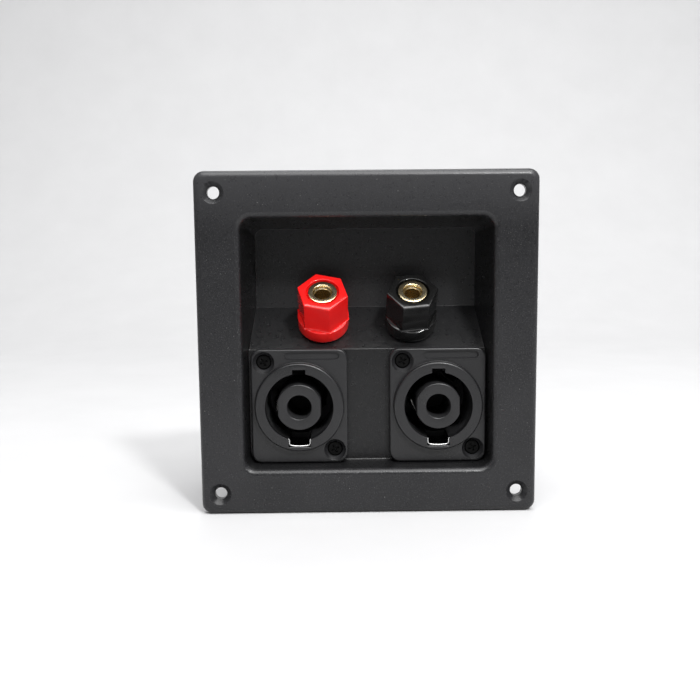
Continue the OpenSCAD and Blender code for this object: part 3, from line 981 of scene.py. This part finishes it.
# %% Screws
CROSS_KEYS = [(math.radians(90 * k + 25), 0.3, 1.15) for k in range(4)]
CROSS = keyed(0.3, CROSS_KEYS)
HEAD_TOP = SEAT + 0.9
shaft = disc(1.1)
head_edge = disc(2.0)
for side, place in SIDES.items():
    levels = [(disc(0.5), 0, -5.55), (shaft, 0, -4.8), (shaft, 0, SEAT + 0.02)]
    levels += [(head_edge, 0, SEAT + 0.02), (head_edge, 0, HEAD_TOP - 0.25)]
    levels += [(head_edge, 0.25, HEAD_TOP), (CROSS, 0, HEAD_TOP), (CROSS, 0.08, HEAD_TOP - 0.6)]
    angles = bearings(64, key_bearings(1.0, CROSS_KEYS))
    head = [ring_at(o, i, z, angles) for o, i, z in levels]
    pair = []
    for x, y in SCREW_AT:
        pair.append([[(px + x, py + y, pz) for px, py, pz in ring] for ring in head])
    screws = skin(side + "_screws", pair[0])
    second = skin("second", pair[1])
    cut(screws, [second], "UNION")
    fit(screws, place, "plate", [side + "_socket_screws"], SCREW_BLACK)

# %% [markdown]
# ## The binding posts
# A post is a threaded brass stud with a 4 mm bore for a plug. A plastic cap with a brass sleeve
# screws down on it, and insulating bushes keep it clear of the shelf. The thread is real here:
# each ring's radius follows a tooth shape that turns by one pitch a turn, so when the cap is
# unscrewed the thread below it shows.


# %% Thread and studs
def tooth(turns):
    """Height of a rounded thread, 0 at the root and 1 at the crest."""
    return 0.5 - 0.5 * math.cos(2 * math.pi * turns)


def threaded(radius, depth, pitch, low, high, angles):
    steps = max(2, round((high - low) / pitch * 10))
    rings = []
    for k in range(steps + 1):
        z = low + (high - low) * k / steps
        fade = min(1, (z - low) / (0.5 * pitch), (high - z) / (0.5 * pitch))
        ring = []
        for a in angles:
            lift = tooth(z / pitch - a / (2 * math.pi))
            r = radius - depth * (1 - lift * fade)
            ring.append((r * math.cos(a), r * math.sin(a), z))
        rings.append(ring)
    return rings


STUD_TOP = 12.4
for colour, place in POSTS.items():
    angles = bearings(64)
    rings = [ring_at(disc(r), 0, z, angles) for r, z in ((1.2, -10.3), (1.6, -10.1))]
    rings += threaded(1.95, 0.3, 0.7, -10, -3.3, angles)
    profile = [(1.7, -3.1), (1.7, -2.95), (2.9, -2.95), (3.0, -2.85), (3.0, 0.8), (4.85, 0.8)]
    profile += [(5.0, 0.92), (5.0, 1.38), (4.88, 1.5), (2.6, 1.5), (2.6, 1.6)]
    rings += [ring_at(disc(r), 0, z, angles) for r, z in profile]
    rings += threaded(2.9, 0.35, 1.0, 1.62, 11.95, angles)
    profile = [(2.62, STUD_TOP - 0.2), (2.5, STUD_TOP - 0.04), (2.42, STUD_TOP)]
    profile += [(2.34, STUD_TOP - 0.02), (2.0, STUD_TOP - 0.4), (2.0, -2.2)]
    rings += [ring_at(disc(r), 0, z, angles) for r, z in profile]
    stud = skin(colour + "_threaded_stud", rings)
    cross = drill(1.3, -6, 6, turn=Matrix.Rotation(math.pi / 2, 4, "Y"), around=32)
    cross.data.transform(Matrix.Translation((0, 0, 3.4)))
    cut(stud, [cross])
    fit(stud, place, "plate", [colour + "_stud"], BRASS, sharp=45)

# %% [markdown]
# ### Caps and sleeves
# The cap is round at the foot and hexagonal above. Where the hexagon's flats meet the round
# skirt they leave small moon-shaped ledges, which catch the light. The outline function changes
# from disc to hexagon between two rings at the same height, and the ledge appears by itself.

# %% Caps
CAP_TURN = {"red": -14.6, "black": 6.9}
CAP_FINISH = {"red": RED_GLOSS, "black": BLACK_GLOSS}
LEDGE = 4.4
CAP_TOP = 13.4
CAP_FOOT = 0.15
for colour, place in POSTS.items():
    angles = bearings(144, HEX_CORNERS)
    hexed = hexagon(12.1, 0.15)
    skirt = disc(7.0)
    well = disc(4.45)
    levels = [(disc(3.93), 0, 4.0), (disc(5.27), 0, 4.0), (disc(5.27), 0, 2.25), (disc(5.6), 0, 2.25)]
    levels += [(disc(5.6), 0, CAP_FOOT + 0.15), (disc(5.75), 0, CAP_FOOT)]
    levels += [(skirt, i, CAP_FOOT + 0.9 - z) for i, z in reversed(round_over(0.9, 0.9, 6))]
    levels += [(skirt, i, z) for i, z in round_over(0.16, LEDGE - 0.1, 3)]
    levels += [(hexed, -0.35, LEDGE - 0.04), (hexed, -0.1, LEDGE)]
    levels += [(hexed, -0.03, LEDGE + 0.08), (hexed, 0, LEDGE + 0.3)]
    levels += [(hexed, i, z) for i, z in round_over(0.3, CAP_TOP, 4)]
    levels += [(well, -i, z) for i, z in reversed(round_over(0.18, CAP_TOP, 3))]
    levels += [(well, 0, CAP_TOP - 1.6), (disc(3.93), 0, CAP_TOP - 1.6)]
    cap = skin(colour + "_hex_cap", [ring_at(o, i, z, angles) for o, i, z in levels], "joined")
    cap.data.transform(Matrix.Rotation(math.radians(CAP_TURN[colour]), 4, "Z"))
    fit(cap, place, colour + "_knob", [colour + "_cap"], CAP_FINISH[colour], sharp=38)

# %% [markdown]
# ### Sleeves and clamp washers
# Inside each cap is a turned brass sleeve, whose rim shows as a bright ring, and below it a
# washer that swivels on the sleeve's foot and clamps the wire without turning. Both are turned
# pieces, so a closed profile with eased corners, spun about the axis, is all they need.

# %% Sleeves and clamp washers
for colour, place in POSTS.items():
    corners = [
        (2.98, 3.6, 0.05), (3.9, 3.6, 0.05), (3.9, 3.05, 0.05), (3.66, 3.05, 0.05),
        (3.66, 2.25, 0.05), (5.25, 2.25, 0.1), (5.25, 4.0, 0.1), (3.9, 4.0, 0.05),
        (3.9, 13.3, 0.14), (2.6, 13.3, 0.1), (2.3, 12.5, 0.04), (2.98, 12.5, 0.04),
    ]
    sleeve = turned(colour + "_sleeve", corners)
    fit(sleeve, place, colour + "_knob", [colour + "_cap_sleeve"], BRASS)
    corners = [
        (2.98, 1.55, 0.08), (5.3, 1.55, 0.15), (5.3, 2.2, 0.12), (3.6, 2.2, 0.05),
        (3.6, 3.15, 0.05), (3.78, 3.15, 0.05), (3.78, 3.4, 0.08), (2.98, 3.4, 0.05),
    ]
    washer = turned(colour + "_swivel_washer", corners)
    fit(washer, place, colour + "_swivel", [colour + "_clamp_washer"], BRASS)

# %% [markdown]
# ### Bushes
# Nylon bushes keep the brass clear of the shelf, one in front and one behind. Each has a spigot
# that sits in the shelf's hole. They are turned profiles again, and their colour tells the red
# post from the black one at the back, where the caps can't be seen.

# %% Bushes
BUSH_FINISH = {"red": RED_NYLON, "black": BLACK_NYLON}
for colour, place in POSTS.items():
    shapes = {
        "front_bush": [
            (3.05, 0.8, 0.1), (5.2, 0.8, 0.2), (5.2, 0, 0.1), (4.0, 0, 0.05),
            (4.0, -1.05, 0.15), (3.05, -1.05, 0.05),
        ],
        "rear_bush": [
            (3.05, -3.0, 0.1), (5.2, -3.0, 0.25), (5.2, -2.2, 0.1), (4.0, -2.2, 0.05),
            (4.0, -1.15, 0.15), (3.05, -1.15, 0.05),
        ],
    }
    for shape, corners in shapes.items():
        bush = turned(f"{colour}_{shape}_ring", corners)
        fit(bush, place, "plate", [f"{colour}_{shape}"], BUSH_FINISH[colour])

# %% [markdown]
# ### Behind the shelf
# The back is where wires are soldered, so it deserves its own detail: a tinned solder tag, a
# split lock washer and a nut with chamfered corners. A nut's chamfer is a cone that meets a
# hexagon, and taking the smaller of the two radii gives the curved bevels of a real nut. The
# lock washer is a small section swept almost round, with its two ends out of step.

# %% Tags, lock washers and nuts
for colour, place in POSTS.items():
    tail = (math.pi / 2, 1.4, 11.0)
    angles = bearings(120, key_bearings(3.8, [tail]))
    tag_out = keyed(3.8, [tail])
    levels = [(disc(2.1), 0, -3.5), (tag_out, 0.05, -3.5), (tag_out, 0, -3.45), (tag_out, 0, -3.05)]
    levels += [(tag_out, 0.05, -3.0), (disc(2.1), 0, -3.0)]
    tag = skin(colour + "_tag", [ring_at(o, i, z, angles) for o, i, z in levels], "joined")
    cut(tag, [drill(0.7, -5, -2, 0, 9, around=32)])
    fit(tag, place, "plate", [colour + "_solder_tag"], TIN)

    rings = []
    for k in range(61):
        a = math.radians(6 + 348 * k / 60)
        rise = 0.12 * (k / 60 - 0.5)
        section = [(2.1, -4.22), (2.1, -3.58), (2.18, -3.55), (3.42, -3.55), (3.5, -3.63), (3.5, -4.17)]
        section += [(3.42, -4.25), (2.18, -4.25)]
        rings.append([(r * math.cos(a), r * math.sin(a), z + rise * 0.3) for r, z in section])
    lock = skin(colour + "_split_washer", rings)
    fit(lock, place, "plate", [colour + "_lock_washer"], STEEL)

    angles = bearings(144, HEX_CORNERS)
    hexed = hexagon(7, 0.12)
    levels = [(disc(2.3), -7.5), (disc(3.35), -7.5)]
    for drop in (0, 0.12, 0.24, 0.36):
        levels.append((lambda a, i=0, d=drop: min(hexed(a), 3.35 + d * 2), -7.5 + drop))
    for drop in (0.36, 0.24, 0.12, 0):
        levels.append((lambda a, i=0, d=drop: min(hexed(a), 3.35 + d * 2), -4.3 - drop))
    levels += [(disc(2.3), -4.3), (disc(2.1), -4.5), (disc(2.1), -7.3)]
    nut = skin(colour + "_hex_nut", [ring_at(o, 0, z, angles) for o, z in levels], "joined")
    fit(nut, place, "plate", [colour + "_nut"], STEEL, sharp=25)

# %% [markdown]
# ## Studio
# A pale sweep carries the plate: a floor that curves up into a wall, so no horizon line shows.
# It ends a little way in front of the plate. A black gloss mirrors whatever lies before it, and
# a long white floor would turn the whole panel grey.

# %% Floor sweep
FLOOR_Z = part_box("recess_plate")[0].z
SWEEP = 1.2
BEND = 0.35
path = [(-0.3, 0.0), (BEND, 0.0)]
for k in range(1, 13):
    t = math.pi / 2 * k / 12
    path.append((BEND + BEND * math.sin(t), BEND - BEND * math.cos(t)))
path.append((2 * BEND, 1.4))
points = []
faces = []
for i, (y, z) in enumerate(path):
    points += [(-SWEEP, y, FLOOR_Z + z), (SWEEP, y, FLOOR_Z + z)]
    if i:
        faces.append((2 * i - 2, 2 * i - 1, 2 * i + 1, 2 * i))
sweep_mesh = bpy.data.meshes.new("studio_sweep")
sweep_mesh.from_pydata(points, [], faces)
for face in sweep_mesh.polygons:
    face.use_smooth = True
sweep = bpy.data.objects.new("studio_sweep", sweep_mesh)
scene.collection.objects.link(sweep)
paper, tree, shader, place = new_finish("pale_paper")
fibre = noise(tree, place, 0.03, 4, 0.6)
pale = blend_colours(tree, fibre, (0.50, 0.50, 0.505), (0.55, 0.55, 0.555))
wire(tree, pale, shader.inputs["Base Color"])
shader.inputs["Roughness"].default_value = 0.8
sweep_mesh.materials.append(paper)
sweep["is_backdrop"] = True


# %% [markdown]
# ### Lights
# Black plastic only shows its shape through what it reflects. A large panel overhead is mirrored
# by the sloping cap tops and by the rounded rim and lip, which is what draws those edges. The key
# light stands above and to the right, and is small enough to throw the lip's shadow on the back
# wall. A third light is for the backdrop alone, and the air around adds a weak even fill.

# %% Lights
def area_light(name, at, size, power, aim=(0, 0, 0), height=None):
    """A round light, or a rectangular one when a height is given."""
    data = bpy.data.lights.new(name, "AREA")
    data.shape = "RECTANGLE" if height else "DISK"
    data.size = size
    data.size_y = height or size
    data.energy = power
    light = bpy.data.objects.new(name, data)
    light.location = at
    direction = Vector(aim) - Vector(at)
    light.rotation_euler = direction.to_track_quat("-Z", "Y").to_euler()
    scene.collection.objects.link(light)
    return light


area_light("key", (0.294, -0.679, 0.672), 0.12, 7.0)
area_light("ceiling_panel", (0.15, -0.47, 1.0), 1.2, 22.0, aim=(0.15, -0.47, 0), height=1.08)
area_light("backdrop", (0.0, 0.5, 0.9), 0.5, 3.0, aim=(0, 0.8, 0.3))
world = bpy.data.worlds.new("studio_air")
world.use_nodes = True
air = world.node_tree.nodes["Background"].inputs
air["Color"].default_value = (1, 1, 1, 1)
air["Strength"].default_value = 0.24
scene.world = world
scene.view_settings.view_transform = "Standard"
print("lights:", len(bpy.data.lights))

# %% [markdown]
# ## Measuring
# The looks must not change the size, so we print the size of the dressed model's box.

# %% Sizes
visual_size = [list(corner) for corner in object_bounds()]
for axis, low, high in zip("xyz", *visual_size):
    print(axis, round((high - low) / MM, 2), "mm")
